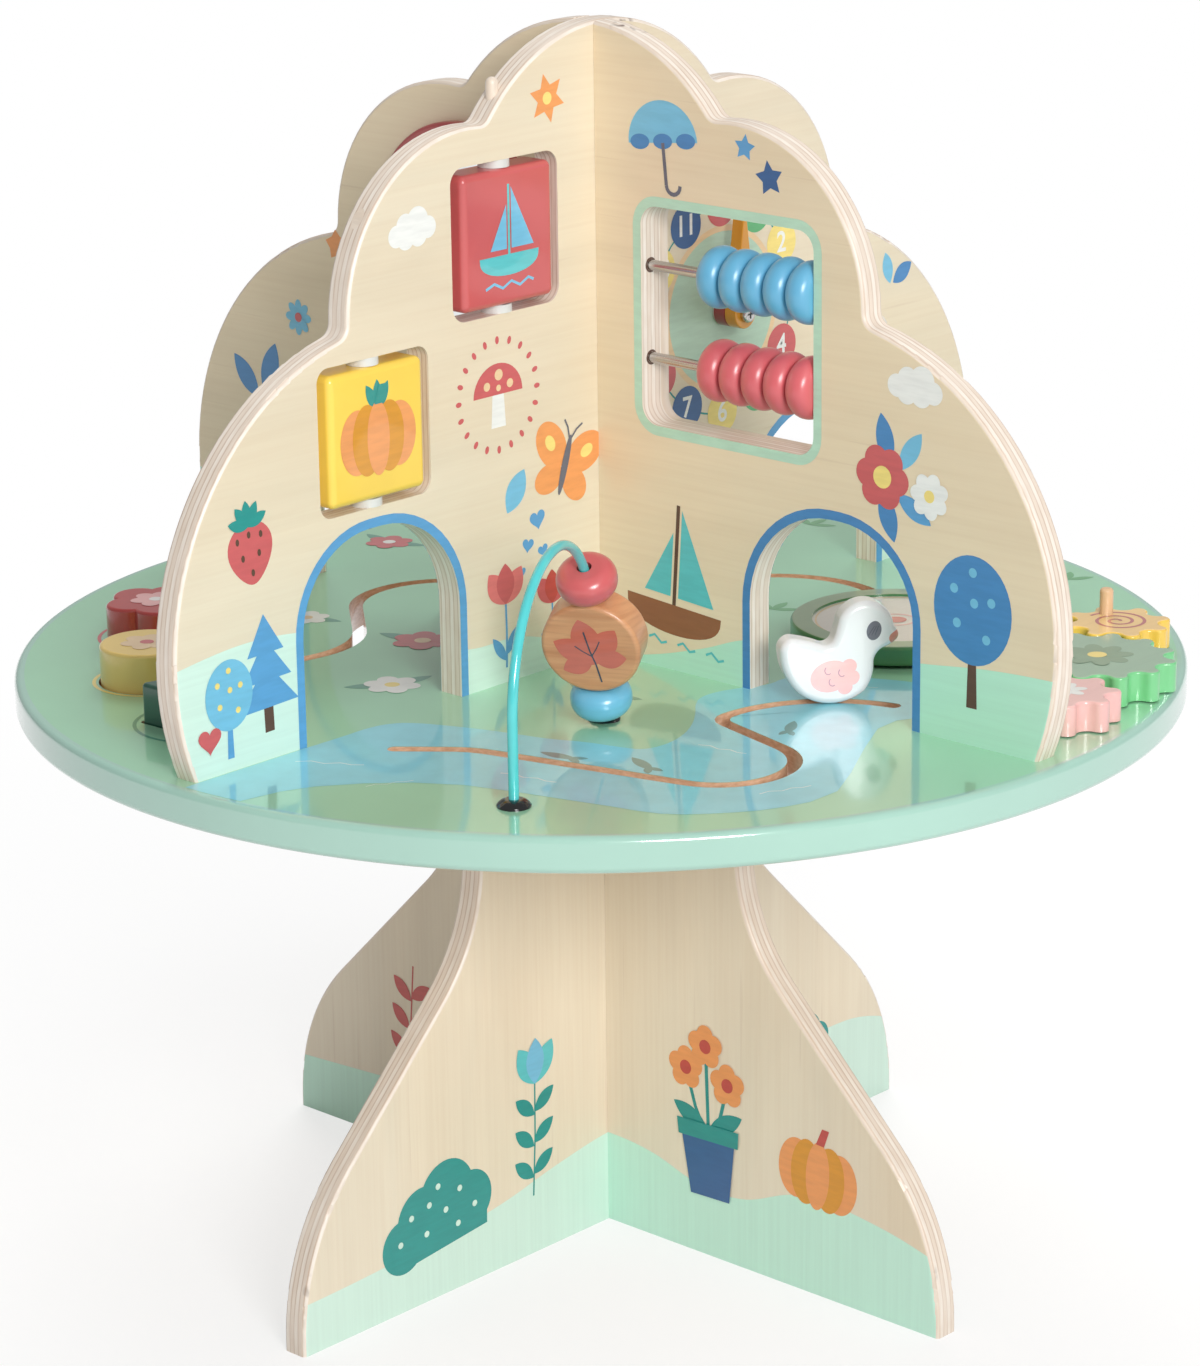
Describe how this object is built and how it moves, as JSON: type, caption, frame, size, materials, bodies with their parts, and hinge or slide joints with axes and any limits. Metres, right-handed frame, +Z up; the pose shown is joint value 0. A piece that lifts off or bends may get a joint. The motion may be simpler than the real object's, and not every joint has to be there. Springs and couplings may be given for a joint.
{
  "type": "wooden activity table",
  "caption": "Round wooden activity table for toddlers: crossed legs and crossed play panels with turning blocks, counting beads, clock, mirror, gears, slot figures, bead wire and shape blocks.",
  "frame": {"origin": "on the floor, at the centre of the table", "axes": "+Z up; the wings and legs lie along X and Y, the bead window faces -Y on the +X wing"},
  "size_m": [0.4999, 0.5, 0.5332],
  "materials": {
    "play_panel_wood": "thick birch plywood with a printed and lacquered face and rounded bare ply edges",
    "leg_panel_wood": "thick birch plywood, lacquered, with a printed mint band along the edge",
    "tabletop_wood": "birch plywood disc with a glossy lacquered print",
    "bare_wood": "turned bare wood under clear lacquer",
    "pale_wood": "pale sanded wood under clear lacquer",
    "steel": "bright steel",
    "nylon": "moulded plastic",
    "black_collar": "glossy black moulded plastic",
    "wire_coating": "steel wire with a glossy turquoise coating",
    "blue_paint": "turned wood with glossy light blue paint",
    "coral_paint": "turned wood with glossy coral paint",
    "red_paint": "wood with glossy red paint",
    "dark_red_paint": "wood with dark red paint",
    "yellow_paint": "wood with glossy yellow paint",
    "green_paint": "wood with glossy green paint",
    "pink_paint": "wood with glossy pink paint",
    "sage_paint": "wood with a sage top and a darker green side",
    "pale_inlay": "thin pale printed board",
    "white_paint": "wood with white paint",
    "brown_paint": "wood with brown paint",
    "mirror_face": "acrylic mirror"
  },
  "bodies": {
    "table": {"lower_panel_a": "leg_panel_wood", "lower_panel_b": "leg_panel_wood", "tabletop": "tabletop_wood", "upper_panel_a": "play_panel_wood", "upper_panel_b": "play_panel_wood", "abacus_frame": "pale_wood", "abacus_rod_upper": "steel", "abacus_rod_lower": "steel", "block_axle_red": "steel", "block_axle_yellow": "steel", "block_washers_red": "nylon", "block_washers_yellow": "nylon", "axle_plugs": "pale_wood", "clock_screw": "steel", "clock_spacer": "nylon", "gear_pins": "steel", "spinner_pivot": "steel", "bead_wire": "wire_coating", "wire_collar_front": "black_collar", "wire_collar_back": "black_collar", "locating_dowels": "bare_wood", "leg_screws": "steel", "wing_screws": "steel", "mirror_frame": "red_paint", "mirror": "mirror_face"},
    "blue_count_1": {"blue_bead_1": "blue_paint"},
    "blue_count_2": {"blue_bead_2": "blue_paint"},
    "blue_count_3": {"blue_bead_3": "blue_paint"},
    "blue_count_4": {"blue_bead_4": "blue_paint"},
    "blue_count_5": {"blue_bead_5": "blue_paint"},
    "coral_count_1": {"coral_bead_1": "coral_paint"},
    "coral_count_2": {"coral_bead_2": "coral_paint"},
    "coral_count_3": {"coral_bead_3": "coral_paint"},
    "coral_count_4": {"coral_bead_4": "coral_paint"},
    "coral_count_5": {"coral_bead_5": "coral_paint"},
    "red_turner": {"turning_block_red": "red_paint"},
    "yellow_turner": {"turning_block_yellow": "yellow_paint"},
    "minute_hand": {"clock_minute_hand": "yellow_paint"},
    "hour_hand": {"clock_hour_hand": "dark_red_paint"},
    "green_wheel": {"gear_green": "green_paint"},
    "yellow_wheel": {"gear_yellow": "yellow_paint", "gear_crank_peg": "bare_wood"},
    "pink_wheel": {"gear_pink": "pink_paint"},
    "spinner": {"spinner_disc": "sage_paint", "spinner_inlay": "pale_inlay"},
    "bird_runner": {"bird_glide": "nylon", "bird_pin": "steel"},
    "bird": {"bird_figure": "white_paint"},
    "hedgehog_runner": {"hedgehog_glide": "nylon", "hedgehog_pin": "steel"},
    "hedgehog": {"hedgehog_figure": "brown_paint"},
    "loop_coral": {"wire_bead_coral": "coral_paint"},
    "loop_disc": {"wire_wood_disc": "bare_wood"},
    "loop_blue": {"wire_bead_blue": "blue_paint"},
    "red_shape": {"shape_block_red": "red_paint"},
    "yellow_shape": {"shape_block_yellow": "yellow_paint"},
    "green_shape": {"shape_block_green": "green_paint"}
  },
  "joints": [
    {"name": "blue_slide_5", "type": "slide", "parent": "table", "child": "blue_count_5", "axis": [-1, 0, 0], "range_m": [0, 0.0325]},
    {"name": "blue_slide_4", "type": "slide", "parent": "table", "child": "blue_count_4", "axis": [-1, 0, 0], "range_m": [0, 0.0325]},
    {"name": "blue_slide_3", "type": "slide", "parent": "table", "child": "blue_count_3", "axis": [-1, 0, 0], "range_m": [0, 0.0325]},
    {"name": "blue_slide_2", "type": "slide", "parent": "table", "child": "blue_count_2", "axis": [-1, 0, 0], "range_m": [0, 0.0325]},
    {"name": "blue_slide_1", "type": "slide", "parent": "table", "child": "blue_count_1", "axis": [-1, 0, 0], "range_m": [0, 0.0325]},
    {"name": "coral_slide_5", "type": "slide", "parent": "table", "child": "coral_count_5", "axis": [-1, 0, 0], "range_m": [0, 0.0325]},
    {"name": "coral_slide_4", "type": "slide", "parent": "table", "child": "coral_count_4", "axis": [-1, 0, 0], "range_m": [0, 0.0325]},
    {"name": "coral_slide_3", "type": "slide", "parent": "table", "child": "coral_count_3", "axis": [-1, 0, 0], "range_m": [0, 0.0325]},
    {"name": "coral_slide_2", "type": "slide", "parent": "table", "child": "coral_count_2", "axis": [-1, 0, 0], "range_m": [0, 0.0325]},
    {"name": "coral_slide_1", "type": "slide", "parent": "table", "child": "coral_count_1", "axis": [-1, 0, 0], "range_m": [0, 0.0325]},
    {"name": "red_turn", "type": "hinge", "parent": "table", "child": "red_turner", "pos_m": [0, -0.05985, 0.4521], "axis": [0, 0, 1], "continuous": true},
    {"name": "yellow_turn", "type": "hinge", "parent": "table", "child": "yellow_turner", "pos_m": [0, -0.1367, 0.38485], "axis": [0, 0, 1], "continuous": true},
    {"name": "minute_turn", "type": "hinge", "parent": "table", "child": "minute_hand", "pos_m": [0.0168, 0.073, 0.3996], "axis": [1, 0, 0], "continuous": true},
    {"name": "hour_turn", "type": "hinge", "parent": "table", "child": "hour_hand", "pos_m": [0.0104, 0.073, 0.3996], "axis": [1, 0, 0], "continuous": true},
    {"name": "green_gear_spin", "type": "hinge", "parent": "table", "child": "green_wheel", "pos_m": [0.1955, 0.0915, 0.27], "axis": [0, 0, 1], "continuous": true},
    {"name": "yellow_gear_spin", "type": "hinge", "parent": "table", "child": "yellow_wheel", "pos_m": [0.17237, 0.13729, 0.27], "axis": [0, 0, 1], "continuous": true},
    {"name": "pink_gear_spin", "type": "hinge", "parent": "table", "child": "pink_wheel", "pos_m": [0.2143, 0.04377, 0.27], "axis": [0, 0, 1], "continuous": true},
    {"name": "spinner_spin", "type": "hinge", "parent": "table", "child": "spinner", "pos_m": [0.09, 0.09, 0.269], "axis": [0, 0, 1], "continuous": true},
    {"name": "bird_run", "type": "hinge", "parent": "table", "child": "bird_runner", "pos_m": [0.1608, -0.0384, 0.256], "axis": [0, 0, 1], "range_deg": [-26, 50]},
    {"name": "bird_spin", "type": "hinge", "parent": "bird_runner", "child": "bird", "pos_m": [0.12644, 0.00403, 0.27], "axis": [0, 0, 1], "continuous": true},
    {"name": "hedgehog_run", "type": "slide", "parent": "table", "child": "hedgehog_runner", "axis": [0.7278, 0.6858, 0], "range_m": [-0.055, 0.055]},
    {"name": "hedgehog_spin", "type": "hinge", "parent": "hedgehog_runner", "child": "hedgehog", "pos_m": [-0.07035, 0.0805, 0.27], "axis": [0, 0, 1], "continuous": true},
    {"name": "coral_loop_run", "type": "hinge", "parent": "table", "child": "loop_coral", "pos_m": [0.09632, -0.12863, 0.306], "axis": [0.9059, 0.4235, 0], "range_deg": [0, 57]},
    {"name": "disc_loop_spin", "type": "hinge", "parent": "table", "child": "loop_disc", "pos_m": [0.07583, -0.08478, 0.30046], "axis": [0.1167, -0.2497, 0.9613], "continuous": true},
    {"name": "blue_loop_spin", "type": "hinge", "parent": "table", "child": "loop_blue", "pos_m": [0.0726, -0.07789, 0.27393], "axis": [0.1167, -0.2497, 0.9613], "continuous": true},
    {"name": "red_shape_lift", "type": "slide", "parent": "table", "child": "red_shape", "axis": [0, 0, 1], "range_m": [0, 0.025]},
    {"name": "yellow_shape_lift", "type": "slide", "parent": "table", "child": "yellow_shape", "axis": [0, 0, 1], "range_m": [0, 0.025]},
    {"name": "green_shape_lift", "type": "slide", "parent": "table", "child": "green_shape", "axis": [0, 0, 1], "range_m": [0, 0.025]}
  ],
  "couplings": [
    {"joint": "blue_slide_4", "follows": "blue_slide_5", "ratio": 1},
    {"joint": "blue_slide_3", "follows": "blue_slide_5", "ratio": 1},
    {"joint": "blue_slide_2", "follows": "blue_slide_5", "ratio": 1},
    {"joint": "blue_slide_1", "follows": "blue_slide_5", "ratio": 1},
    {"joint": "coral_slide_4", "follows": "coral_slide_5", "ratio": 1},
    {"joint": "coral_slide_3", "follows": "coral_slide_5", "ratio": 1},
    {"joint": "coral_slide_2", "follows": "coral_slide_5", "ratio": 1},
    {"joint": "coral_slide_1", "follows": "coral_slide_5", "ratio": 1},
    {"joint": "yellow_gear_spin", "follows": "green_gear_spin", "ratio": -1.5},
    {"joint": "pink_gear_spin", "follows": "green_gear_spin", "ratio": -1.5}
  ]
}
